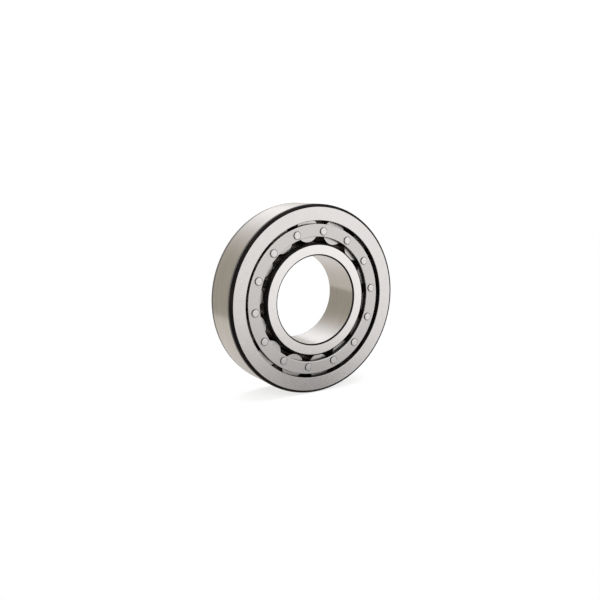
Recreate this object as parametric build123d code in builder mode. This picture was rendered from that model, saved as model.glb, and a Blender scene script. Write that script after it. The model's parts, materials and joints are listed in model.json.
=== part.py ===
from build123d import *

import os
from math import cos, radians, sin

# Single-row cylindrical roller bearing of dimension series 03, 75 x 160 x 37 mm.
# The outer ring carries two ribs that keep the rollers in line. The inner ring has none, so it
# can be drawn out along the axis. The rollers run in a two-piece machined cage: a comb with one
# bar between each pair of rollers, and a cover ring riveted to the ends of the bars.
#
# The bearing's centre is the origin and its axis is Y. The cover ring is on the -Y side, which
# is the front, and +Z is up. Angles are turned from +X towards +Z, as seen from the front.

# Boundary dimensions, in millimetres
bore_diameter = 75.0
outside_diameter = 160.0
width = 37.0

# Rolling elements and raceways
roller_count = 14
roller_diameter = 22.0
roller_length = 26.0
roller_corner = 0.9
inner_raceway_diameter = 95.5
radial_play = 0.03  # between a centred roller and each raceway

# Rings
outer_corner = 2.5
bore_corner = 1.2
inner_raceway_corner = 1.45
rib_bore_diameter = 132.7
rib_edge = 0.4
roller_end_play = 0.08  # between a roller's end and each rib
undercut_radius = 0.6

# Cage
cage_outside_diameter = 127.2
cage_inside_diameter = 106.0
cage_recess = 1.5  # how far the cage lies below the rings' side faces
cage_edge = 0.5
pocket_play = 0.12  # around a roller
pocket_end_play = 0.25  # between a roller's end and the cage

# Rivets, one through each bar
rivet_circle_diameter = 115.2
rivet_shank_diameter = 2.6
rivet_hole_play = 0.03
rivet_head_diameter = 6.2
rivet_head_height = 0.8  # above the cage's side face, at the head's rim
rivet_dome = 0.15  # the crown's rise above the rim
rivet_head_round = 0.5
recess_diameter = 7.1
recess_depth = 0.3

first_rivet_angle = 5.6  # degrees above +X, with the bearing at rest

# Sizes that follow from those above
half_width = width / 2
half_roller = roller_length / 2
roller_pitch = 360 / roller_count
inner_raceway_radius = inner_raceway_diameter / 2
pitch_radius = inner_raceway_radius + radial_play + roller_diameter / 2
outer_raceway_radius = pitch_radius + roller_diameter / 2 + radial_play
rib_inner_face = half_roller + roller_end_play
cage_half_width = half_width - cage_recess
pocket_half_length = half_roller + pocket_end_play
pocket_radius = roller_diameter / 2 + pocket_play
rivet_hole_radius = rivet_shank_diameter / 2 + rivet_hole_play
recess_floor = cage_half_width - recess_depth


def station(y):
    """The plane across the axis at y, facing the front. Its x and y are the row's X and Z."""
    return Plane.XZ.offset(-y)


def save(part, name):
    part.label = name
    export_step(part, f"parts/{name}.step")


def export_roller(number):
    """One roller. Roller 1 follows rivet 1, half a pitch further round."""
    angle = radians(first_rivet_angle + (number - 0.5) * roller_pitch)
    centre = (pitch_radius * cos(angle), pitch_radius * sin(angle))
    with BuildPart() as roller:
        with BuildSketch(station(0)):
            with Locations(centre):
                Circle(roller_diameter / 2)
        extrude(amount=half_roller, both=True)
        fillet(roller.edges().filter_by(GeomType.CIRCLE), roller_corner)
    save(roller.part, f"roller_{number:02d}")


def export_rivet(number):
    """One rivet: a shank through the bar with a low domed head at each end."""
    angle = radians(first_rivet_angle + (number - 1) * roller_pitch)
    centre = (
        rivet_circle_diameter / 2 * cos(angle),
        0,
        rivet_circle_diameter / 2 * sin(angle),
    )
    rim = cage_half_width + rivet_head_height
    head_radius = rivet_head_diameter / 2
    shank_radius = rivet_shank_diameter / 2
    with BuildPart() as rivet:
        with BuildSketch(Plane(origin=centre)) as profile:
            with BuildLine():
                SagittaArc((head_radius, rim), (-head_radius, rim), -rivet_dome)
                Line((-head_radius, rim), (-head_radius, recess_floor))
                Line((-head_radius, recess_floor), (head_radius, recess_floor))
                Line((head_radius, recess_floor), (head_radius, rim))
            make_face()
            fillet(profile.vertices().group_by(Axis.Y)[-1], rivet_head_round)
            Rectangle(2 * shank_radius, recess_floor, align=(Align.CENTER, Align.MIN))
            mirror(about=Plane.XZ)
            split(bisect_by=Plane.YZ)
        revolve(axis=Axis(centre, (0, 1, 0)))
    save(rivet.part, f"rivet_{number:02d}")


os.makedirs("parts", exist_ok=True)

# Outer ring: the raceway lies between two ribs, with an undercut at the foot of each rib.
with BuildPart() as outer_ring:
    with BuildSketch(Plane.XY) as outer_section:
        with BuildLine():
            Polyline(
                (rib_bore_diameter / 2, -half_width),
                (outside_diameter / 2, -half_width),
                (outside_diameter / 2, half_width),
                (rib_bore_diameter / 2, half_width),
                (rib_bore_diameter / 2, rib_inner_face),
                (outer_raceway_radius, rib_inner_face),
                (outer_raceway_radius, -rib_inner_face),
                (rib_bore_diameter / 2, -rib_inner_face),
                close=True,
            )
        make_face()
        fillet(outer_section.vertices().group_by(Axis.X)[-1], outer_corner)
        chamfer(outer_section.vertices().group_by(Axis.X)[0], rib_edge)
        with Locations(
            (outer_raceway_radius, rib_inner_face), (outer_raceway_radius, -rib_inner_face)
        ):
            Circle(undercut_radius, mode=Mode.SUBTRACT)
    revolve(axis=Axis.Y)
save(outer_ring.part, "outer_ring")

# Inner ring: a plain sleeve whose outside is the raceway.
with BuildPart() as inner_ring:
    with BuildSketch(Plane.XY) as inner_section:
        with Locations((bore_diameter / 2, 0)):
            Rectangle(
                inner_raceway_radius - bore_diameter / 2,
                width,
                align=(Align.MIN, Align.CENTER),
            )
        fillet(inner_section.vertices().group_by(Axis.X)[-1], inner_raceway_corner)
        fillet(inner_section.vertices().group_by(Axis.X)[0], bore_corner)
    revolve(axis=Axis.Y)
save(inner_ring.part, "inner_ring")

# Cage comb: the rear side ring and the bars. The pockets are bored from the front, and the
# bars' hollow sides hold the rollers in when the inner ring is out.
with BuildPart() as cage_comb:
    with BuildSketch(Plane.XY) as comb_section:
        with Locations((cage_inside_diameter / 2, -pocket_half_length)):
            Rectangle(
                (cage_outside_diameter - cage_inside_diameter) / 2,
                pocket_half_length + cage_half_width,
                align=Align.MIN,
            )
        chamfer(comb_section.vertices().group_by(Axis.Y)[-1], cage_edge)
    revolve(axis=Axis.Y)
    with BuildSketch(station(-pocket_half_length)):
        with PolarLocations(
            pitch_radius, roller_count, start_angle=first_rivet_angle + roller_pitch / 2
        ):
            Circle(pocket_radius)
    extrude(amount=-2 * pocket_half_length, mode=Mode.SUBTRACT)
    with BuildSketch(station(-pocket_half_length)):
        with PolarLocations(
            rivet_circle_diameter / 2, roller_count, start_angle=first_rivet_angle
        ):
            Circle(rivet_hole_radius)
    extrude(amount=-(pocket_half_length + cage_half_width), mode=Mode.SUBTRACT)
    with BuildSketch(station(cage_half_width)):
        with PolarLocations(
            rivet_circle_diameter / 2, roller_count, start_angle=first_rivet_angle
        ):
            Circle(recess_diameter / 2)
    extrude(amount=recess_depth, mode=Mode.SUBTRACT)
save(cage_comb.part, "cage_comb")

# Cage cover ring: closes the pockets at the front.
with BuildPart() as cage_cover_ring:
    with BuildSketch(Plane.XY) as cover_section:
        with Locations((cage_inside_diameter / 2, -cage_half_width)):
            Rectangle(
                (cage_outside_diameter - cage_inside_diameter) / 2,
                cage_half_width - pocket_half_length,
                align=Align.MIN,
            )
        chamfer(cover_section.vertices().group_by(Axis.Y)[0], cage_edge)
    revolve(axis=Axis.Y)
    with BuildSketch(station(-cage_half_width)):
        with PolarLocations(
            rivet_circle_diameter / 2, roller_count, start_angle=first_rivet_angle
        ):
            Circle(rivet_hole_radius)
    extrude(amount=-(cage_half_width - pocket_half_length), mode=Mode.SUBTRACT)
    with BuildSketch(station(-cage_half_width)):
        with PolarLocations(
            rivet_circle_diameter / 2, roller_count, start_angle=first_rivet_angle
        ):
            Circle(recess_diameter / 2)
    extrude(amount=-recess_depth, mode=Mode.SUBTRACT)
save(cage_cover_ring.part, "cage_cover_ring")

for piece in range(1, roller_count + 1):
    export_roller(piece)
    export_rivet(piece)
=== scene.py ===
"""A cylindrical roller bearing in ground and machined steel, standing on a pale studio floor.

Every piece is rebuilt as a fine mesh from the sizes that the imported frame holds, and rides on the
body of the CAD node that it stands for. The bearing's axis is Y and its front is the -Y side.
"""

import json
import math

import bmesh
import bpy
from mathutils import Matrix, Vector


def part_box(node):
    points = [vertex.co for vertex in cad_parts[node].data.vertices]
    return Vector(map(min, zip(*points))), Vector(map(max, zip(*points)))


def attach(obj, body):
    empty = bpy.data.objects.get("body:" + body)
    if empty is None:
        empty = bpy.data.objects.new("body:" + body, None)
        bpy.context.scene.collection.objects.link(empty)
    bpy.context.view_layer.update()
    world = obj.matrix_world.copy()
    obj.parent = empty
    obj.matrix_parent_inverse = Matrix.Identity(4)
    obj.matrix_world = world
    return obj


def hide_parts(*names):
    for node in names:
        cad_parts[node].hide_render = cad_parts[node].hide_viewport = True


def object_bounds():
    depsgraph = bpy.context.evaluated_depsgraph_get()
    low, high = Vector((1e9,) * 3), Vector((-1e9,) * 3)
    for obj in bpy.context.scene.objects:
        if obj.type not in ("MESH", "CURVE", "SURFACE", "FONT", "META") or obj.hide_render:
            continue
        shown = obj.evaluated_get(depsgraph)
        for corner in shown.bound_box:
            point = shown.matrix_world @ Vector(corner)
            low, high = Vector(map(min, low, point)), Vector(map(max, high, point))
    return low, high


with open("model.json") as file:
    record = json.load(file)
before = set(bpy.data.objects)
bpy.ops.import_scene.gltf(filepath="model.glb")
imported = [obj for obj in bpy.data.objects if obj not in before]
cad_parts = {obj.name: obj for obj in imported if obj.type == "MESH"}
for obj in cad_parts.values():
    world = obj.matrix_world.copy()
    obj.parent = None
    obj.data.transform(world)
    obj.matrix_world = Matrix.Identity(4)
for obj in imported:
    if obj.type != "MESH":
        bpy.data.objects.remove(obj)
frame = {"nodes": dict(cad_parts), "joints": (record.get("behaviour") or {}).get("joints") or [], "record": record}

cad_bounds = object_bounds()

MM = 0.001
record = frame["record"]
mounts = {mount["name"]: mount["dims"] for mount in record["mounts"]}
axes = {joint["child"]: Vector(joint["pos_m"]) for joint in frame["joints"]}
rollers = sorted(name for name in frame["nodes"] if name.startswith("roller_"))
rivets = sorted(name for name in frame["nodes"] if name.startswith("rivet_"))

# Mesh fineness: flats round a ring, a roller, a pocket and a rivet, and steps in a ring's or
# roller's corner, a cage edge, a rivet's dome and an undercut
RING_FLATS = 288
ROLLER_FLATS = 128
POCKET_FLATS = 112
RIVET_FLATS = 64
CORNER_STEPS = 9
EDGE_STEPS = 6
DOME_STEPS = 6
UNDERCUT_STEPS = 14
SHARP_ANGLE = math.radians(32)

# Small finishing sizes, and how near two sizes are when they count as the same
RIVET_ROUND = 0.5 * MM
RECESS_BREAK = 0.12 * MM
CUTTER_OVERSHOOT = 1.0 * MM
RUBBED_WIDTH = 2.1 * MM
SAME_SIZE = 0.01 * MM


# ---------------------------------------------------------------- sizes from the frame


def middle(node):
    """The point on a roller's or rivet's own axis at the bearing's mid-plane."""
    if node in axes:
        return axes[node]
    low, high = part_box(node)
    return Vector(((low.x + high.x) / 2, 0, (low.z + high.z) / 2))


def section(node, axis_at=Vector((0, 0, 0))):
    """Each of a node's points as (distance from an axis along Y, station along it)."""
    points = []
    for vertex in frame["nodes"][node].data.vertices:
        away = vertex.co - axis_at
        points.append((math.hypot(away.x, away.z), vertex.co.y))
    return points


def stations(points, radius):
    """The stations along the axis of the points that lie at a radius."""
    return [y for r, y in points if abs(r - radius) < SAME_SIZE]


# ---------------------------------------------------------------- outlines and meshes


def arc(centre, radius, start, end, steps):
    """Points along an arc in the (radius, station) plane, with its angles in degrees."""
    points = []
    for step in range(steps + 1):
        angle = math.radians(start + (end - start) * step / steps)
        points.append((centre[0] + radius * math.cos(angle), centre[1] + radius * math.sin(angle)))
    return points


def mirrored(points):
    """The same points on the other side of the mid-plane, in the opposite order."""
    return [(r, -y) for r, y in reversed(points)]


def solid_of_revolution(name, outline, flats, closed=True):
    """A mesh made by turning an outline of (radius, station) points round the Y axis.

    An open outline starts and ends on the axis.
    """
    shape = bmesh.new()
    rings = []
    for radius, y in outline:
        count = flats if radius > SAME_SIZE else 1
        ring = []
        for flat in range(count):
            angle = 2 * math.pi * flat / flats
            ring.append(shape.verts.new((radius * math.cos(angle), y, radius * math.sin(angle))))
        rings.append(ring)
    pairs = list(zip(rings, rings[1:]))
    if closed:
        pairs.append((rings[-1], rings[0]))
    for first, second in pairs:
        for flat in range(flats):
            after = (flat + 1) % flats
            corners = [first[flat % len(first)], first[after % len(first)]]
            corners += [second[after % len(second)], second[flat % len(second)]]
            distinct = list(dict.fromkeys(corners))
            shape.faces.new(distinct)
    bmesh.ops.recalc_face_normals(shape, faces=shape.faces)
    mesh = bpy.data.meshes.new(name)
    shape.to_mesh(mesh)
    shape.free()
    return mesh


def smooth(mesh):
    """Smooth shading, broken only where two faces meet at a real edge."""
    mesh.shade_smooth()
    mesh.set_sharp_from_angle(angle=SHARP_ANGLE)


def place(name, mesh, at=(0, 0, 0)):
    """A new object at a point, with normals that follow its large faces."""
    piece = bpy.data.objects.new(name, mesh)
    piece.location = at
    bpy.context.scene.collection.objects.link(piece)
    weighting = piece.modifiers.new("face_normals", "WEIGHTED_NORMAL")
    weighting.keep_sharp = True
    return piece


def stand_for(piece, node, body, material):
    """The piece takes a CAD node's place, rides on its body and wears a material."""
    if not piece.data.materials:
        piece.data.materials.append(material)
    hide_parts(node)
    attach(piece, body)


def copies_at(mesh, points):
    """One mesh that holds a copy of a mesh at each point."""
    shape = bmesh.new()
    for point in points:
        first = len(shape.verts)
        shape.from_mesh(mesh)
        shape.verts.ensure_lookup_table()
        bmesh.ops.translate(shape, verts=shape.verts[first:], vec=point)
    joined = bpy.data.meshes.new("cutters")
    shape.to_mesh(joined)
    shape.free()
    return joined


def cut(mesh, cutters):
    """The mesh with the cutters' room taken out of it."""
    blank = bpy.data.objects.new("blank", mesh)
    tool = bpy.data.objects.new("tool", cutters)
    for item in (blank, tool):
        bpy.context.scene.collection.objects.link(item)
    operation = blank.modifiers.new("cut", "BOOLEAN")
    operation.operation = "DIFFERENCE"
    operation.solver = "EXACT"
    operation.object = tool
    bpy.context.view_layer.update()
    graph = bpy.context.evaluated_depsgraph_get()
    result = bpy.data.meshes.new_from_object(blank.evaluated_get(graph), depsgraph=graph)
    for item in (blank, tool):
        bpy.data.objects.remove(item)
    return result


# ---------------------------------------------------------------- shader helpers


# The grain runs round the axis, so a highlight spreads across it
QUARTER_TURN = 0.25

# How much a surface shines where scale or painted shade hides the metal
SCALE_GLOSS = 0.10

# Nearly all of a noise's values lie in this range
NOISE_SPAN = (0.3, 0.7)


def new_material(name):
    """An empty node material, and its tree."""
    material = bpy.data.materials.new(name)
    material.use_nodes = True
    material.node_tree.nodes.clear()
    return material, material.node_tree


def put(tree, socket, value):
    """Feeds an input from another node's output or from a plain value."""
    if isinstance(value, bpy.types.NodeSocket):
        tree.links.new(value, socket)
    else:
        socket.default_value = value


def calc(tree, operation, first, second=0.0):
    """One arithmetic step."""
    node = tree.nodes.new("ShaderNodeMath")
    node.operation = operation
    put(tree, node.inputs[0], first)
    put(tree, node.inputs[1], second)
    return node.outputs[0]


def ramp(tree, value, low, high, at_low=0.0, at_high=1.0):
    """A smooth step from one value to another while the input goes from low to high."""
    node = tree.nodes.new("ShaderNodeMapRange")
    node.interpolation_type = "SMOOTHSTEP"
    for key, item in (
        ("Value", value),
        ("From Min", low),
        ("From Max", high),
        ("To Min", at_low),
        ("To Max", at_high),
    ):
        put(tree, node.inputs[key], item)
    return node.outputs["Result"]


def mix_colour(tree, share, first, second):
    """A colour that goes from first to second as the share goes from 0 to 1."""
    node = tree.nodes.new("ShaderNodeMix")
    node.data_type = "RGBA"
    sockets = [s for s in node.inputs if s.type == "RGBA"]
    factor = [s for s in node.inputs if s.name == "Factor" and s.type == "VALUE"][0]
    put(tree, factor, share)
    put(tree, sockets[0], first)
    put(tree, sockets[1], second)
    return [s for s in node.outputs if s.type == "RGBA"][0]


def scaled(tree, vector, scale):
    """A vector multiplied part by part."""
    node = tree.nodes.new("ShaderNodeVectorMath")
    node.operation = "MULTIPLY"
    put(tree, node.inputs[0], vector)
    put(tree, node.inputs[1], scale)
    return node.outputs[0]


def noise(tree, vector, detail=2.0, roughness=0.5):
    """Soft noise from 0 to 1, one lump to each unit of the vector."""
    node = tree.nodes.new("ShaderNodeTexNoise")
    node.inputs["Scale"].default_value = 1.0
    node.inputs["Detail"].default_value = detail
    node.inputs["Roughness"].default_value = roughness
    put(tree, node.inputs["Vector"], vector)
    return node.outputs["Fac"]


def place_on_piece(tree):
    """Object coordinates, with the radius and the station along the piece's own axis."""
    coordinates = tree.nodes.new("ShaderNodeTexCoord").outputs["Object"]
    parts = tree.nodes.new("ShaderNodeSeparateXYZ")
    tree.links.new(coordinates, parts.inputs[0])
    x, y, z = parts.outputs
    across = calc(tree, "ADD", calc(tree, "MULTIPLY", x, x), calc(tree, "MULTIPLY", z, z))
    radius = calc(tree, "SQRT", across)
    return coordinates, x, y, z, radius


def turned_lines(tree, x, y, z, radius, pitch, length):
    """Fine lines round the axis, on cylinders and side faces alike, as a tool or wheel leaves."""
    along = calc(tree, "ADD", radius, y)
    joined = tree.nodes.new("ShaderNodeCombineXYZ")
    put(tree, joined.inputs[0], calc(tree, "DIVIDE", x, length))
    put(tree, joined.inputs[1], calc(tree, "DIVIDE", along, pitch))
    put(tree, joined.inputs[2], calc(tree, "DIVIDE", z, length))
    return noise(tree, joined.outputs[0], detail=3.0, roughness=0.6)


def steel(tree, colour, roughness, metallic, height, depth, streaks):
    """A metal surface with a relief, whose grain runs round the piece's axis.

    depth is the relief's height, and streaks is how far a highlight is drawn out by the grain.
    """
    shader = tree.nodes.new("ShaderNodeBsdfPrincipled")
    put(tree, shader.inputs["Specular IOR Level"], SCALE_GLOSS)
    put(tree, shader.inputs["Base Color"], colour)
    put(tree, shader.inputs["Roughness"], roughness)
    put(tree, shader.inputs["Metallic"], metallic)
    put(tree, shader.inputs["Anisotropic"], streaks)
    put(tree, shader.inputs["Anisotropic Rotation"], QUARTER_TURN)
    bump = tree.nodes.new("ShaderNodeBump")
    bump.inputs["Strength"].default_value = 1.0
    bump.inputs["Distance"].default_value = depth
    put(tree, bump.inputs["Height"], height)
    tree.links.new(bump.outputs[0], shader.inputs["Normal"])
    tangent = tree.nodes.new("ShaderNodeTangent")
    tangent.direction_type = "RADIAL"
    tangent.axis = "Y"
    tree.links.new(tangent.outputs[0], shader.inputs["Tangent"])
    output = tree.nodes.new("ShaderNodeOutputMaterial")
    tree.links.new(shader.outputs[0], output.inputs["Surface"])


# ---------------------------------------------------------------- materials


# Hardening scale, near black with a little brown, also used as painted shade; and near black painted shade
DARK_SCALE_AND_SHADE = (0.003, 0.0025, 0.0025, 1)
BROWN_SCALE_AND_SHADE = (0.008, 0.006, 0.005, 1)
PAINTED_SHADE_BLACK = (0.006, 0.005, 0.0045, 1)

# How far the edge of a dark band, of scale or of painted shade, fades and wanders, and how dark a rubbed band
# still is
BAND_EDGE = 0.05 * MM
RAGGED_EDGE = 0.12 * MM
RUBBED_SHARE = 0.86

# A side face's finish starts at the first depth below the face and is whole at the second
FACE_FADE = (0.2 * MM, 0.1 * MM)

# Ground ring steel
STEEL_DULL = (0.64, 0.625, 0.62, 1)
STEEL_SHINY = (0.78, 0.77, 0.765, 1)
STEEL_WARM = (0.69, 0.675, 0.66, 1)
OUTER_TINT = (1.03, 1.03, 1.03, 1)
OUTER_FACE_TINT = (0.98, 0.98, 0.98, 1)
INNER_TINT = (0.98, 0.98, 0.98, 1)
INNER_FACE_TINT = (1.14, 1.14, 1.14, 1)
GRIND_SLANTS = (math.radians(38), math.radians(-47))
RING_CONTRAST = (0.32, 0.68)
RING_FINE_SHARE = 0.6
RING_ROUGHNESS = (0.17, 0.25)
FACE_ROUGHENING = 0.08
SCALE_ROUGHENING = 0.22
RING_STREAKS = 0.6
RING_RELIEF = 0.002 * MM

# The scratches' noise, and the narrower range that it becomes so that they show less
SCRATCH_FADE = (0.1, 0.9, 0.3, 0.7)

# A stain's range of noise, and its share of the colour at each end of the range
RING_STAIN_SHARE = (0.35, 0.75, 0.0, 0.4)
ROLLER_STAIN_SHARE = (0.4, 0.8, 0.0, 0.3)
CAGE_STAIN_SHARE = (0.35, 0.8, 0.0, 0.4)

# The noise over which the dark bands, scale and painted shade alike, turn brown
BROWN_SPAN = (0.4, 0.7)

# Lines that a tool or a wheel leaves: the distance between them, and their length
RING_LINES = (0.16 * MM, 14 * MM)
RING_BANDS = (1.6 * MM, 60 * MM)
RING_SCRATCHES = (0.36 * MM, 6 * MM)
ROLLER_LINES = (0.12 * MM, 9 * MM)
CAGE_LINES = (0.22 * MM, 22 * MM)
CAGE_BANDS = (1.4 * MM, 90 * MM)

# Lumps of noise to the metre
RING_CLOUDS = (55, 55, 55)
RING_WEAR = (900, 900, 900)
ROLLER_CLOUDS = (120, 120, 120)
CAGE_CLOUDS = (70, 70, 70)
RIVET_MARKS = (1100, 1100, 1100)
RIVET_CLOUDS = (260, 260, 260)
FLOOR_CLOUDS = (3, 3, 3)

# Rollers: their sides, painted dark as shade in the bearing's gaps, and their turned ends
SHADED_ROLLER_DULL = (0.16, 0.15, 0.14, 1)
SHADED_ROLLER_SHINY = (0.22, 0.21, 0.20, 1)
ROLLER_STAIN = (0.15, 0.135, 0.12, 1)
END_DULL = (0.58, 0.57, 0.56, 1)
END_SHINY = (0.66, 0.65, 0.64, 1)
ROLLER_CORNER_FADE = 0.1 * MM
ROLLER_ROUGHNESS = (0.14, 0.24)
END_ROUGHENING = 0.12
ROLLER_STREAKS = 0.3
ROLLER_RELIEF = 0.0015 * MM

# Machined cage steel. Its walls are painted near black as shade, and its edges painted bright as a
# highlight, between two depths below the side face, in widths of the cage's edge. A rivet seat gets
# partly painted shade in the same way, in parts of its own depth, as far out as SEAT_REACH times its
# recess's radius.
CAGE_DULL = (0.585, 0.575, 0.57, 1)
CAGE_SHINY = (0.67, 0.66, 0.655, 1)
CAGE_STAIN = (0.62, 0.60, 0.57, 1)
PAINTED_EDGE_HIGHLIGHT = (0.95, 0.94, 0.93, 1)
CAGE_TOOL_SHARE = 0.75
CAGE_ROUGHNESS = (0.36, 0.46)
CAGE_RELIEF = 0.004 * MM
WALL_FADE = (2.2, 1.5)
EDGE_FADE = (0.06, 0.01)
SEAT_FADE = (0.6, 0.1)
SEAT_SHARE = 0.4
SEAT_REACH = 1.1

# Rivet heads. The rim is painted near black as shade, between two distances from the head's outside.
RIVET_DULL = (0.63, 0.62, 0.615, 1)
RIVET_SHINY = (0.75, 0.745, 0.74, 1)
RIM_FADE = (0.26 * MM, 0.16 * MM)
RIVET_ROUGHNESS = (0.22, 0.36)
RIVET_RELIEF = 0.006 * MM


def inside_band(tree, radius, station, band, ragged):
    """1 inside a band of radii and stations, with a narrow ragged edge."""
    low_radius, high_radius, near, far = band
    past_low = calc(tree, "SUBTRACT", radius, low_radius)
    below_high = calc(tree, "SUBTRACT", high_radius, radius)
    across = calc(tree, "MINIMUM", past_low, below_high)
    past_near = calc(tree, "SUBTRACT", station, near)
    before_far = calc(tree, "SUBTRACT", far, station)
    along = calc(tree, "MINIMUM", past_near, before_far)
    depth = calc(tree, "ADD", calc(tree, "MINIMUM", across, along), ragged)
    return ramp(tree, depth, -BAND_EDGE, BAND_EDGE)


def band_share(tree, value, low, high, edge):
    """1 while a value is inside a band, fading to 0 over a narrow edge on each side."""
    above = calc(tree, "SUBTRACT", value, low)
    below = calc(tree, "SUBTRACT", high, value)
    return ramp(tree, calc(tree, "MINIMUM", above, below), -edge, edge)


def crossed_scratches(tree, x, z, pitch, length):
    """Short fine scratches in two slanting directions, as a disc grinder leaves on a side face."""
    layers = []
    for slant in GRIND_SLANTS:
        x_along = calc(tree, "MULTIPLY", x, math.cos(slant))
        z_along = calc(tree, "MULTIPLY", z, math.sin(slant))
        along = calc(tree, "ADD", x_along, z_along)
        z_across = calc(tree, "MULTIPLY", z, math.cos(slant))
        x_across = calc(tree, "MULTIPLY", x, math.sin(slant))
        across = calc(tree, "SUBTRACT", z_across, x_across)
        joined = tree.nodes.new("ShaderNodeCombineXYZ")
        put(tree, joined.inputs[0], calc(tree, "DIVIDE", along, length))
        put(tree, joined.inputs[1], calc(tree, "DIVIDE", across, pitch))
        put(tree, joined.inputs[2], slant)
        layers.append(noise(tree, joined.outputs[0], detail=3.0, roughness=0.6))
    return calc(tree, "MULTIPLY", calc(tree, "ADD", layers[0], layers[1]), 0.5)


def ring_steel(name, tint, face_tint, face, scale_and_shade_bands, thin_scale=None):
    """Ground bearing steel. The corners that no wheel reaches keep their dark hardening scale, and the
    same dark is painted as shade on surfaces that lie deep in the bearing's gaps.

    The list of bands holds (lowest radius, highest radius, nearest station, farthest station)
    bands, some of real scale and some of painted shade, and thin_scale is one more such band, where
    the scale is partly rubbed away.
    """
    material, tree = new_material(name)
    coordinates, x, y, z, radius = place_on_piece(tree)
    fine = turned_lines(tree, x, y, z, radius, *RING_LINES)
    broad = turned_lines(tree, x, y, z, radius, *RING_BANDS)
    cloud = noise(tree, scaled(tree, coordinates, RING_CLOUDS), detail=3.0)
    wear = noise(tree, scaled(tree, coordinates, RING_WEAR), detail=2.0)
    fine_part = calc(tree, "MULTIPLY", fine, RING_FINE_SHARE)
    broad_part = calc(tree, "MULTIPLY", broad, 1 - RING_FINE_SHARE)
    lines = calc(tree, "ADD", fine_part, broad_part)

    station = calc(tree, "ABSOLUTE", y)
    scratches = crossed_scratches(tree, x, z, *RING_SCRATCHES)
    on_face = ramp(tree, station, face - FACE_FADE[0], face - FACE_FADE[1])
    off_face = calc(tree, "SUBTRACT", 1.0, on_face)
    scratch_part = calc(tree, "MULTIPLY", ramp(tree, scratches, *SCRATCH_FADE), on_face)
    grain = calc(tree, "ADD", scratch_part, calc(tree, "MULTIPLY", lines, off_face))

    ragged = calc(tree, "MULTIPLY", calc(tree, "SUBTRACT", wear, 0.5), RAGGED_EDGE)
    scale_and_shade_share = 0.0
    for band in scale_and_shade_bands:
        share = inside_band(tree, radius, station, band, ragged)
        scale_and_shade_share = calc(tree, "MAXIMUM", scale_and_shade_share, share)

    bright = mix_colour(tree, ramp(tree, grain, *RING_CONTRAST), STEEL_DULL, STEEL_SHINY)
    bright = mix_colour(tree, ramp(tree, cloud, *RING_STAIN_SHARE), bright, STEEL_WARM)
    bright = scaled(tree, bright, mix_colour(tree, on_face, tint, face_tint))
    dark = mix_colour(tree, ramp(tree, cloud, *BROWN_SPAN), DARK_SCALE_AND_SHADE, BROWN_SCALE_AND_SHADE)
    covered = scale_and_shade_share
    if thin_scale:
        in_band = inside_band(tree, radius, station, thin_scale, ragged)
        rubbed_share = calc(tree, "MULTIPLY", in_band, RUBBED_SHARE)
        bright = mix_colour(tree, rubbed_share, bright, DARK_SCALE_AND_SHADE)
        covered = calc(tree, "MAXIMUM", scale_and_shade_share, rubbed_share)
    # The bands go near black: real scale at the corners, painted shade where a band stands for the dark of a gap
    colour = mix_colour(tree, scale_and_shade_share, bright, dark)
    line_roughness = ramp(tree, grain, *NOISE_SPAN, *RING_ROUGHNESS)
    face_roughness = calc(tree, "MULTIPLY", on_face, FACE_ROUGHENING)
    ground = calc(tree, "ADD", line_roughness, face_roughness)
    roughness = calc(tree, "ADD", ground, calc(tree, "MULTIPLY", scale_and_shade_share, SCALE_ROUGHENING))
    metallic = calc(tree, "SUBTRACT", 1.0, covered)
    streaks = calc(tree, "MULTIPLY", off_face, RING_STREAKS)
    steel(tree, colour, roughness, metallic, grain, RING_RELIEF, streaks)
    return material


def roller_steel(radius_limit, corner, half_length):
    """Rollers: painted dark as shade round the outside, turned and brighter on the ends, with corners painted near
    black as shade.
    """
    material, tree = new_material("roller_steel")
    coordinates, x, y, z, radius = place_on_piece(tree)
    station = calc(tree, "ABSOLUTE", y)
    corner_radius = radius_limit - corner
    corner_station = half_length - corner
    fade = ROLLER_CORNER_FADE
    past_radius = ramp(tree, radius, corner_radius - fade, corner_radius + fade)
    past_station = ramp(tree, station, corner_station - fade, corner_station + fade)
    corner_shade_share = calc(tree, "MULTIPLY", past_radius, past_station)
    fine = turned_lines(tree, x, y, z, radius, *ROLLER_LINES)
    cloud = noise(tree, scaled(tree, coordinates, ROLLER_CLOUDS), detail=2.0)
    # Painted shade: the sides are dark so that the gaps round the rollers stay dark
    colour = mix_colour(tree, ramp(tree, fine, *NOISE_SPAN), SHADED_ROLLER_DULL, SHADED_ROLLER_SHINY)
    colour = mix_colour(tree, ramp(tree, cloud, *ROLLER_STAIN_SHARE), colour, ROLLER_STAIN)
    on_end = ramp(tree, station, half_length - FACE_FADE[0], half_length - FACE_FADE[1])
    turned = mix_colour(tree, ramp(tree, fine, *NOISE_SPAN), END_DULL, END_SHINY)
    colour = mix_colour(tree, on_end, colour, turned)
    # Painted shade: the corners go near black
    colour = mix_colour(tree, corner_shade_share, colour, PAINTED_SHADE_BLACK)
    ground = ramp(tree, fine, *NOISE_SPAN, *ROLLER_ROUGHNESS)
    roughness = calc(tree, "ADD", ground, calc(tree, "MULTIPLY", on_end, END_ROUGHENING))
    metallic = calc(tree, "SUBTRACT", 1.0, corner_shade_share)
    steel(tree, colour, roughness, metallic, fine, ROLLER_RELIEF, ROLLER_STREAKS)
    return material


def below_face(tree, station, face, unit, fade):
    """1 well below a side face and 0 near it. fade is the two depths of the change, in units."""
    deep, shallow = fade
    return ramp(tree, station, face - deep * unit, face - shallow * unit, 1.0, 0.0)


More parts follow.
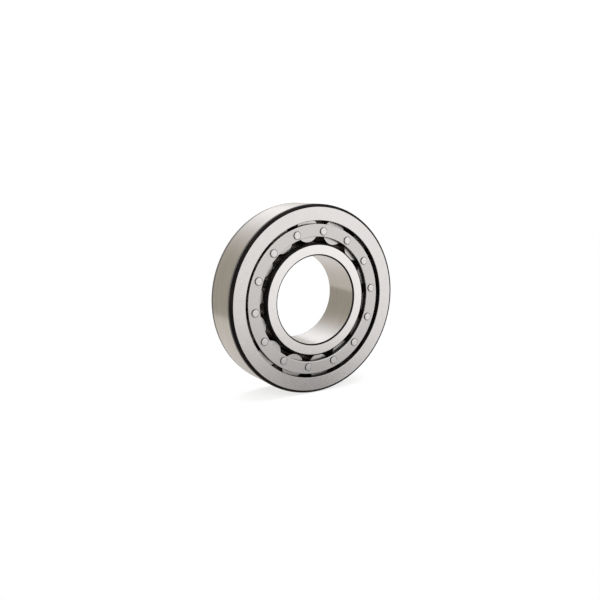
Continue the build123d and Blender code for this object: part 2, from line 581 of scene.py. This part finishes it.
def cage_steel(face, edge, seat_depth, seat_low, seat_high):
    """Machined cage steel: semi-matt side faces with the tool's rings, walls painted near black as shade, and a
    painted highlight along the edges.

    face is the side faces' distance from the mid-plane. The rivet seats lie between two radii.
    """
    material, tree = new_material("cage_steel")
    coordinates, x, y, z, radius = place_on_piece(tree)
    station = calc(tree, "ABSOLUTE", y)
    wall_shade_share = below_face(tree, station, face, edge, WALL_FADE)
    in_seat = band_share(tree, radius, seat_low, seat_high, BAND_EDGE)
    sunk = below_face(tree, station, face, seat_depth, SEAT_FADE)
    seat_shade_share = calc(tree, "MULTIPLY", calc(tree, "MULTIPLY", in_seat, sunk), SEAT_SHARE)
    painted_shade_share = calc(tree, "MAXIMUM", wall_shade_share, seat_shade_share)
    tool = turned_lines(tree, x, y, z, radius, *CAGE_LINES)
    broad = turned_lines(tree, x, y, z, radius, *CAGE_BANDS)
    cloud = noise(tree, scaled(tree, coordinates, CAGE_CLOUDS), detail=3.0)
    tool_part = calc(tree, "MULTIPLY", tool, CAGE_TOOL_SHARE)
    grain = calc(tree, "ADD", tool_part, calc(tree, "MULTIPLY", broad, 1 - CAGE_TOOL_SHARE))
    colour = mix_colour(tree, ramp(tree, grain, *NOISE_SPAN), CAGE_DULL, CAGE_SHINY)
    colour = mix_colour(tree, ramp(tree, cloud, *CAGE_STAIN_SHARE), colour, CAGE_STAIN)
    edge_highlight_share = below_face(tree, station, face, edge, EDGE_FADE)
    # Painted highlight: a bright band along the edges of the side faces
    colour = mix_colour(tree, edge_highlight_share, colour, PAINTED_EDGE_HIGHLIGHT)
    # Painted shade: the walls below the face, and part of each rivet seat, go near black
    colour = mix_colour(tree, painted_shade_share, colour, PAINTED_SHADE_BLACK)
    roughness = ramp(tree, grain, *NOISE_SPAN, *CAGE_ROUGHNESS)
    metallic = calc(tree, "SUBTRACT", 1.0, painted_shade_share)
    steel(tree, colour, roughness, metallic, grain, CAGE_RELIEF, 0.0)
    return material


def rivet_steel(head):
    """Upset rivet heads: bright, with slight marks from the forming tool and a rim painted dark as shade."""
    material, tree = new_material("rivet_steel")
    coordinates, *_, radius = place_on_piece(tree)
    marks = noise(tree, scaled(tree, coordinates, RIVET_MARKS), detail=3.0)
    cloud = noise(tree, scaled(tree, coordinates, RIVET_CLOUDS), detail=2.0)
    colour = mix_colour(tree, ramp(tree, cloud, *NOISE_SPAN), RIVET_DULL, RIVET_SHINY)
    rim = ramp(tree, radius, head - RIM_FADE[0], head - RIM_FADE[1])
    # Painted shade: the rim goes near black, as the gap round the head in its recess is in shadow
    colour = mix_colour(tree, rim, colour, PAINTED_SHADE_BLACK)
    roughness = ramp(tree, marks, *NOISE_SPAN, *RIVET_ROUGHNESS)
    metallic = calc(tree, "SUBTRACT", 1.0, rim)
    steel(tree, colour, roughness, metallic, marks, RIVET_RELIEF, 0.0)
    return material


# ---------------------------------------------------------------- rings


def build_outer_ring():
    """Outer ring: rounded outside corners, a rib at each side and an undercut at each rib's foot."""
    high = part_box("outer_ring")[1]
    outside, half_width = high.x, high.y
    corner = half_width - mounts["housing_seat"]["length_mm"] * MM / 2
    points = section("outer_ring")
    rib_bore = min(r for r, y in points)
    rib_stations = [y for y in stations(points, rib_bore) if y > 0]
    rib_edge = half_width - max(rib_stations)
    rib_face = min(rib_stations) - rib_edge
    raceway, groove_end = min(points, key=lambda point: abs(point[1]))
    undercut = rib_face - abs(groove_end)
    half = [(rib_bore, half_width - rib_edge), (rib_bore, rib_face + rib_edge)]
    half += [(rib_bore + rib_edge, rib_face)]
    half += arc((raceway, rib_face), undercut, 180, -90, UNDERCUT_STEPS)
    inside = half + mirrored(half)
    front = [(rib_bore + rib_edge, -half_width)]
    front += arc((outside - corner, -half_width + corner), corner, -90, 0, CORNER_STEPS)
    outline = inside + front + mirrored(front)
    mesh = solid_of_revolution("outer_ring_finished", outline, RING_FLATS)
    smooth(mesh)
    # Dark bands: the outside corners keep real scale; the rib bore and the undercut keep scale that also stands as
    # painted shade for the dark gap beside the cage
    scale_and_shade_bands = [
        (outside - corner, outside + corner, half_width - corner, half_width + corner),
        (rib_bore - rib_edge, rib_bore + rib_edge / 2, rib_face - undercut, half_width + corner),
        (raceway - undercut, raceway + 2 * undercut, rib_face - undercut, rib_face + 2 * undercut),
    ]
    corner_start = half_width - corner
    rubbed = (outside - undercut, outside + corner, corner_start - RUBBED_WIDTH, corner_start)
    piece = place("outer_ring_finished", mesh)
    tints = (OUTER_TINT, OUTER_FACE_TINT)
    material = ring_steel("outer_ring_steel", *tints, half_width, scale_and_shade_bands, rubbed)
    stand_for(piece, "outer_ring", "outer_ring", material)


def build_inner_ring():
    """Inner ring: a plain sleeve with rounded corners, its outside the inner raceway."""
    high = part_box("inner_ring")[1]
    raceway, half_width = high.x, high.y
    bore = mounts["shaft_bore"]["r_mm"] * MM
    bore_corner = half_width - mounts["shaft_bore"]["length_mm"] * MM / 2
    raceway_corner = half_width - max(stations(section("inner_ring"), raceway))
    track_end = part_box(rollers[0])[1].y
    bore_centre = (bore + bore_corner, -half_width + bore_corner)
    raceway_centre = (raceway - raceway_corner, -half_width + raceway_corner)
    front = arc(bore_centre, bore_corner, -180, -90, CORNER_STEPS)
    front += arc(raceway_centre, raceway_corner, -90, 0, CORNER_STEPS)
    outline = front + mirrored(front)
    mesh = solid_of_revolution("inner_ring_finished", outline, RING_FLATS)
    smooth(mesh)
    beyond = half_width + raceway_corner
    # Dark bands: the raceway from the rollers' ends outward is painted shade, keeping the gap dark; its corner and
    # the bore's corners keep real scale
    scale_and_shade_bands = [
        (raceway - raceway_corner, raceway + raceway_corner, track_end, beyond),
        (bore - bore_corner, bore + bore_corner, half_width - bore_corner, beyond),
    ]
    piece = place("inner_ring_finished", mesh)
    material = ring_steel("inner_ring_steel", INNER_TINT, INNER_FACE_TINT, half_width, scale_and_shade_bands)
    stand_for(piece, "inner_ring", "inner_ring", material)


# ---------------------------------------------------------------- cage


def cage_finish():
    """The cage parts' material, fitted to their faces and rivet seats."""
    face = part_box("cage_comb")[1].y
    points = section("cage_comb")
    inside = min(r for r, y in points)
    edge = min(r for r, y in points if abs(y - face) < SAME_SIZE) - inside
    recess, floor = seat_sizes("cage_comb")[1:]
    circle = middle(rivets[0]).length
    reach = SEAT_REACH * recess
    return cage_steel(face, edge, face - floor, circle - reach, circle + reach)


def rounded_side(inside, outside, front, edge):
    """A front side face of the cage with its deburred edges, from the inside to the outside."""
    points = arc((inside + edge, front + edge), edge, -180, -90, EDGE_STEPS)
    return points + arc((outside - edge, front + edge), edge, -90, 0, EDGE_STEPS)


def build_cage_cover(material):
    """Cover ring: flat, with a recess for each rivet's head in its front face."""
    low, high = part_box("cage_cover_ring")
    points = section("cage_cover_ring")
    outside, inside = high.x, min(r for r, y in points)
    front, back = low.y, high.y
    edge = min(r for r, y in points if abs(y - front) < SAME_SIZE) - inside
    outline = [(inside, back)] + rounded_side(inside, outside, front, edge) + [(outside, back)]
    blank = solid_of_revolution("cage_cover_finished", outline, RING_FLATS)
    hole, recess, floor = seat_sizes("cage_cover_ring")
    seat = seat_cutter(hole, recess, -floor, front, back + CUTTER_OVERSHOOT)
    mesh = cut(blank, copies_at(seat, [middle(rivet) for rivet in rivets]))
    smooth(mesh)
    piece = place("cage_cover_finished", mesh)
    stand_for(piece, "cage_cover_ring", "cage", material)


def seat_sizes(node):
    """Hole radius, recess radius and recess floor of one rivet's seat in a cage part.

    Nothing lies nearer to the rivet's axis than its hole, or than the recess on the side face.
    """
    points = [(r, abs(y)) for r, y in section(node, middle(rivets[0]))]
    face = max(y for r, y in points)
    hole = min(r for r, y in points)
    recess = min(r for r, y in points if y > face - SAME_SIZE)
    floor = max(y for r, y in points if abs(r - hole) < SAME_SIZE)
    return hole, recess, floor


def seat_cutter(hole, recess, floor, face, far_end):
    """A rivet seat as a solid to take away: a recess at a side face, and a hole to far_end."""
    outward = math.copysign(1, face)
    rim = face + outward * CUTTER_OVERSHOOT
    outline = [(0, far_end), (hole, far_end), (hole, floor), (recess, floor)]
    outline += [(recess, face - outward * RECESS_BREAK)]
    outline += [(recess + RECESS_BREAK + CUTTER_OVERSHOOT, rim), (0, rim)]
    return solid_of_revolution("seat", outline, RIVET_FLATS, closed=False)


def build_cage_comb(material):
    """Comb: the rear side ring with one bar between each two rollers."""
    low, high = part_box("cage_comb")
    points = section("cage_comb")
    outside, inside = high.x, min(r for r, y in points)
    front, back = low.y, high.y
    edge = min(r for r, y in points if abs(y - back) < SAME_SIZE) - inside
    side = mirrored(rounded_side(inside, outside, -back, edge))
    outline = [(outside, front)] + side + [(inside, front)]
    blank = solid_of_revolution("cage_comb_finished", outline, RING_FLATS)
    # Only the bars reach the front half, so a pocket's wall is what lies nearest there
    pocket = min(r for r, y in section("cage_comb", middle(rollers[0])) if y < 0)
    pocket_outline = [(0, front - CUTTER_OVERSHOOT), (pocket, front - CUTTER_OVERSHOOT)]
    pocket_outline += [(pocket, -front), (0, -front)]
    pocket_cutter = solid_of_revolution("pocket", pocket_outline, POCKET_FLATS, closed=False)
    mesh = cut(blank, copies_at(pocket_cutter, [middle(roller) for roller in rollers]))
    hole, recess, floor = seat_sizes("cage_comb")
    seat = seat_cutter(hole, recess, floor, back, front - CUTTER_OVERSHOOT)
    mesh = cut(mesh, copies_at(seat, [middle(rivet) for rivet in rivets]))
    smooth(mesh)
    piece = place("cage_comb_finished", mesh)
    stand_for(piece, "cage_comb", "cage", material)


# ---------------------------------------------------------------- rollers and rivets


def build_rollers():
    """Rollers, each on its own axis so that its grain turns with it."""
    points = section(rollers[0], middle(rollers[0]))
    radius = max(r for r, y in points)
    half_length = max(y for r, y in points)
    corner = half_length - max(stations(points, radius))
    front = [(0, -half_length)]
    front += arc((radius - corner, -half_length + corner), corner, -90, 0, CORNER_STEPS)
    mesh = solid_of_revolution("roller_finished", front + mirrored(front), ROLLER_FLATS, closed=False)
    smooth(mesh)
    material = roller_steel(radius, corner, half_length)
    for node in rollers:
        piece = place(node + "_finished", mesh, middle(node))
        stand_for(piece, node, node, material)


def build_rivets():
    """Rivets: a shank through the bar, and a low domed head with a rounded rim at each end."""
    low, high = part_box(rivets[0])
    points = section(rivets[0], middle(rivets[0]))
    head = (high.x - low.x) / 2
    crown = high.y
    side = [abs(y) for y in stations(points, head)]
    floor, side_top = min(side), max(side)
    shank = min(r for r, y in points if r > SAME_SIZE and abs(y) < floor + SAME_SIZE)
    shoulder = side_top + RIVET_ROUND
    front = []
    for step in range(DOME_STEPS):
        share = step / DOME_STEPS
        rise = (crown - shoulder) * (1 - share**2)
        front.append((share * (head - RIVET_ROUND), -shoulder - rise))
    front += arc((head - RIVET_ROUND, -side_top), RIVET_ROUND, -90, 0, CORNER_STEPS)
    front += [(head, -floor), (shank, -floor)]
    mesh = solid_of_revolution("rivet_finished", front + mirrored(front), RIVET_FLATS, closed=False)
    smooth(mesh)
    material = rivet_steel(head)
    for node in rivets:
        piece = place(node + "_finished", mesh, middle(node))
        stand_for(piece, node, "cage", material)


# ---------------------------------------------------------------- studio


FLOOR_SIZE = 6.0
FLOOR_NEAR = 0.09
FLOOR_FAR = 0.16
FLOOR_GLOW = 0.7
FLOOR_DULL = (0.88, 0.88, 0.88, 1)
FLOOR_PALE = (0.90, 0.90, 0.90, 1)
FLOOR_ROUGHNESS = 0.9
WHITE = (1, 1, 1, 1)
BACKDROP_STRENGTH = 1.1
VIEW_AZIMUTH = math.radians(-31.48)
VIEW_ELEVATION = math.radians(9.99)
VIEW_DISTANCE = 592.4 * MM
AIM_RIGHT = -4.32 * MM
AIM_UP = -2.58 * MM
LENS = 41.35
SENSOR = 36.0
TENT_WHITE = (1.24, 1.22, 1.22, 1)
TENT_LOW = (0.36, 0.34, 0.31, 1)
TENT_PATCH = (0.40, 0.363, 0.30, 1)
TENT_WALL_LOW = (0.52, 0.505, 0.49, 1)
TENT_WALL_HIGH = (0.98, 0.965, 0.955, 1)
PATCH_DIRECTION = (-0.54, 0.84, 0.05)
PATCH_SPREAD = (6, 60)

# Where each part of the tent begins and ends, along one axis of the unit direction looked in.
# Where there are two more numbers, they are its strength at each end.
TENT_FRONT = (0.3, -0.3)
TENT_LOW_FRONT = (-0.02, -0.32, 0.0, 0.30)
TENT_LEFT_FRONT = (0.62, 0.30, 0.0, 0.22)
TENT_BESIDE = (0.64, 0.40)
TENT_FAR_LEFT = (0.0, -0.4)
TENT_WALL = (-0.5, 0.7)
TENT_BACK = (0.0, 0.4)
TENT_HAZE = (0.38, 0.15, 0.0, 0.72)
TABLE_ACROSS = (-0.5, 0.45)
HORIZON = -0.25
HORIZON_FADE = 0.06
TABLE_LEFT = (0.64, 0.595, 0.53, 1)
TABLE_RIGHT = (0.82, 0.79, 0.75, 1)
FRONT_DEPTH = 0.60
FRONT_REACH = 175 * MM
FRONT_LEAN = 0.3
BACK_DEPTH = 0.4
BACK_REACH = 45 * MM
SHADOW_COLOUR = (0.05, 0.045, 0.04, 1)
SHADOW_HALF_WIDTH = 60 * MM
SHADOW_WIDENING = 0.4
SHADOW_EXTENT = 3
SOFTBOX_SIZE = (1.2, 0.9)
SOFTBOX_POWER = 13.0
SOFTBOX_PLACE = (0.1, 0.1, 1.1)
FILL_SIZE = 0.9
FILL_POWER = 9.0
FILL_PLACE = (-0.6, -1.0, 0.8)


def build_floor():
    """A plain pale floor under the bearing's lowest point."""
    lowest = cad_bounds[0].z
    mesh = bpy.data.meshes.new("floor")
    half = FLOOR_SIZE / 2
    corners = [(x, y, lowest) for x, y in ((-half, -half), (half, -half), (half, half), (-half, half))]
    mesh.from_pydata(corners, [], [(0, 1, 2, 3)])
    floor = bpy.data.objects.new("floor", mesh)
    bpy.context.scene.collection.objects.link(floor)
    material, tree = new_material("floor_card")
    shader = tree.nodes.new("ShaderNodeBsdfPrincipled")
    coordinates = tree.nodes.new("ShaderNodeTexCoord").outputs["Object"]
    cloud = noise(tree, scaled(tree, coordinates, FLOOR_CLOUDS))
    colour = mix_colour(tree, cloud, FLOOR_DULL, FLOOR_PALE)
    put(tree, shader.inputs["Base Color"], colour)
    put(tree, shader.inputs["Roughness"], FLOOR_ROUGHNESS)
    put(tree, shader.inputs["Specular IOR Level"], 0.0)
    away = tree.nodes.new("ShaderNodeVectorMath")
    away.operation = "LENGTH"
    put(tree, away.inputs[0], coordinates)
    glow = ramp(tree, away.outputs["Value"], FLOOR_NEAR, FLOOR_FAR, FLOOR_GLOW, 1.0)
    white = tree.nodes.new("ShaderNodeEmission")
    white.inputs["Color"].default_value = WHITE
    both = tree.nodes.new("ShaderNodeMixShader")
    put(tree, both.inputs[0], glow)
    tree.links.new(shader.outputs[0], both.inputs[1])
    tree.links.new(white.outputs[0], both.inputs[2])
    output = tree.nodes.new("ShaderNodeOutputMaterial")
    tree.links.new(both.outputs[0], output.inputs["Surface"])
    mesh.materials.append(material)
    floor.visible_glossy = False


def build_world():
    """A light tent: white to the camera, with a dim warm patch behind and to the left.

    Reflections see the tent alone, so its lower part stands for the floor.
    """
    world = bpy.data.worlds.new("light_tent")
    bpy.context.scene.world = world
    world.use_nodes = True
    tree = world.node_tree
    tree.nodes.clear()
    direction = tree.nodes.new("ShaderNodeTexCoord").outputs["Generated"]
    parts = tree.nodes.new("ShaderNodeSeparateXYZ")
    tree.links.new(direction, parts.inputs[0])
    aim = tree.nodes.new("ShaderNodeVectorMath")
    aim.operation = "DOT_PRODUCT"
    put(tree, aim.inputs[0], direction)
    put(tree, aim.inputs[1], Vector(PATCH_DIRECTION).normalized())
    narrow, wide = (math.cos(math.radians(angle)) for angle in PATCH_SPREAD)
    patch = ramp(tree, aim.outputs["Value"], wide, narrow)
    right, back, up = parts.outputs
    in_front = ramp(tree, back, *TENT_FRONT)
    low_front = calc(tree, "MULTIPLY", in_front, ramp(tree, up, *TENT_LOW_FRONT))
    left_front = calc(tree, "MULTIPLY", in_front, ramp(tree, right, *TENT_LEFT_FRONT))
    tent = mix_colour(tree, calc(tree, "ADD", low_front, left_front), TENT_WHITE, TENT_LOW)
    beside = ramp(tree, calc(tree, "ABSOLUTE", back), *TENT_BESIDE)
    far_left = calc(tree, "MULTIPLY", in_front, ramp(tree, right, *TENT_FAR_LEFT))
    wall = mix_colour(tree, ramp(tree, up, *TENT_WALL), TENT_WALL_LOW, TENT_WALL_HIGH)
    tent = mix_colour(tree, calc(tree, "MAXIMUM", beside, far_left), tent, wall)
    tent = mix_colour(tree, patch, tent, TENT_PATCH)
    behind = ramp(tree, back, *TENT_BACK)
    haze = calc(tree, "MULTIPLY", behind, ramp(tree, up, *TENT_HAZE))
    tent = mix_colour(tree, haze, tent, TENT_PATCH)
    below = ramp(tree, up, HORIZON, HORIZON - HORIZON_FADE)
    table = mix_colour(tree, ramp(tree, right, *TABLE_ACROSS), TABLE_LEFT, TABLE_RIGHT)
    tent = mix_colour(tree, calc(tree, "MULTIPLY", behind, below), tent, table)
    light = tree.nodes.new("ShaderNodeBackground")
    put(tree, light.inputs["Color"], tent)
    white = tree.nodes.new("ShaderNodeBackground")
    white.inputs["Color"].default_value = WHITE
    white.inputs["Strength"].default_value = BACKDROP_STRENGTH
    path = tree.nodes.new("ShaderNodeLightPath")
    both = tree.nodes.new("ShaderNodeMixShader")
    put(tree, both.inputs[0], path.outputs["Is Camera Ray"])
    tree.links.new(light.outputs[0], both.inputs[1])
    tree.links.new(white.outputs[0], both.inputs[2])
    output = tree.nodes.new("ShaderNodeOutputWorld")
    tree.links.new(both.outputs[0], output.inputs["Surface"])


def build_shadow(name, start, outward, depth, reach, lean):
    """The bearing's soft shadow on the floor on one side of it, which only reflections see.

    start is the station of the side face it starts under, and outward is the sign of its direction.
    The shadow's middle moves to the right by lean for each unit of distance, and it widens.
    """
    lowest = cad_bounds[0].z
    side = SHADOW_EXTENT * reach
    far = start + outward * side
    near, away = min(start, far), max(start, far)
    mesh = bpy.data.meshes.new(name)
    corners = [(x, y, lowest) for x, y in ((-side, near), (side, near), (side, away), (-side, away))]
    mesh.from_pydata(corners, [], [(0, 1, 2, 3)])
    card = bpy.data.objects.new(name, mesh)
    bpy.context.scene.collection.objects.link(card)
    for kind in ("camera", "diffuse", "shadow", "transmission", "volume_scatter"):
        setattr(card, "visible_" + kind, False)
    material, tree = new_material(name)
    coordinates = tree.nodes.new("ShaderNodeTexCoord").outputs["Object"]
    parts = tree.nodes.new("ShaderNodeSeparateXYZ")
    tree.links.new(coordinates, parts.inputs[0])
    distance = calc(tree, "ABSOLUTE", calc(tree, "SUBTRACT", parts.outputs[1], start))
    along = calc(tree, "DIVIDE", distance, reach)
    offset = calc(tree, "SUBTRACT", parts.outputs[0], calc(tree, "MULTIPLY", distance, lean))
    width = calc(tree, "ADD", SHADOW_HALF_WIDTH, calc(tree, "MULTIPLY", distance, SHADOW_WIDENING))
    across = calc(tree, "DIVIDE", offset, width)
    along_squared = calc(tree, "MULTIPLY", along, along)
    across_squared = calc(tree, "MULTIPLY", across, across)
    spread = calc(tree, "ADD", along_squared, across_squared)
    faded = calc(tree, "EXPONENT", calc(tree, "MULTIPLY", spread, -1.0))
    share = calc(tree, "MULTIPLY", faded, depth)
    clear = tree.nodes.new("ShaderNodeBsdfTransparent")
    dark = tree.nodes.new("ShaderNodeEmission")
    dark.inputs["Color"].default_value = SHADOW_COLOUR
    both = tree.nodes.new("ShaderNodeMixShader")
    put(tree, both.inputs[0], share)
    tree.links.new(clear.outputs[0], both.inputs[1])
    tree.links.new(dark.outputs[0], both.inputs[2])
    output = tree.nodes.new("ShaderNodeOutputMaterial")
    tree.links.new(both.outputs[0], output.inputs["Surface"])
    mesh.materials.append(material)


def build_softbox():
    """A wide softbox overhead, which doesn't show in the metal."""
    lamp = bpy.data.lights.new("softbox", "AREA")
    lamp.shape = "RECTANGLE"
    lamp.size = SOFTBOX_SIZE[0]
    lamp.size_y = SOFTBOX_SIZE[1]
    lamp.energy = SOFTBOX_POWER
    box = bpy.data.objects.new("softbox", lamp)
    box.location = SOFTBOX_PLACE
    box.visible_glossy = False
    bpy.context.scene.collection.objects.link(box)


def build_fill():
    """A wide lamp from the front, which evens out the floor and doesn't show in the metal."""
    lamp = bpy.data.lights.new("fill", "AREA")
    lamp.shape = "DISK"
    lamp.size = FILL_SIZE
    lamp.energy = FILL_POWER
    fill = bpy.data.objects.new("fill", lamp)
    fill.location = FILL_PLACE
    fill.rotation_mode = "QUATERNION"
    fill.rotation_quaternion = fill.location.to_track_quat("Z", "Y")
    fill.visible_glossy = False
    bpy.context.scene.collection.objects.link(fill)


def build_camera():
    """The camera, at the photograph's viewing angle."""
    flat = math.cos(VIEW_ELEVATION)
    sideways = math.sin(VIEW_AZIMUTH) * flat
    forward = -math.cos(VIEW_AZIMUTH) * flat
    back = Vector((sideways, forward, math.sin(VIEW_ELEVATION)))
    right = Vector((0, 0, 1)).cross(back).normalized()
    up = back.cross(right)
    data = bpy.data.cameras.new("camera")
    data.lens = LENS
    data.sensor_width = SENSOR
    camera = bpy.data.objects.new("camera", data)
    camera.location = back * VIEW_DISTANCE + right * AIM_RIGHT + up * AIM_UP
    camera.rotation_mode = "QUATERNION"
    camera.rotation_quaternion = (-back).to_track_quat("-Z", "Y")
    bpy.context.scene.collection.objects.link(camera)
    bpy.context.scene.camera = camera


build_outer_ring()
build_inner_ring()
cage_material = cage_finish()
build_cage_comb(cage_material)
build_cage_cover(cage_material)
build_rollers()
build_rivets()
build_floor()
build_world()
build_shadow("front_shadow", cad_bounds[0].y, -1, FRONT_DEPTH, FRONT_REACH, FRONT_LEAN)
build_shadow("back_shadow", cad_bounds[1].y, 1, BACK_DEPTH, BACK_REACH, 0.0)
build_softbox()
build_fill()
build_camera()
bpy.context.scene.view_settings.view_transform = "Standard"
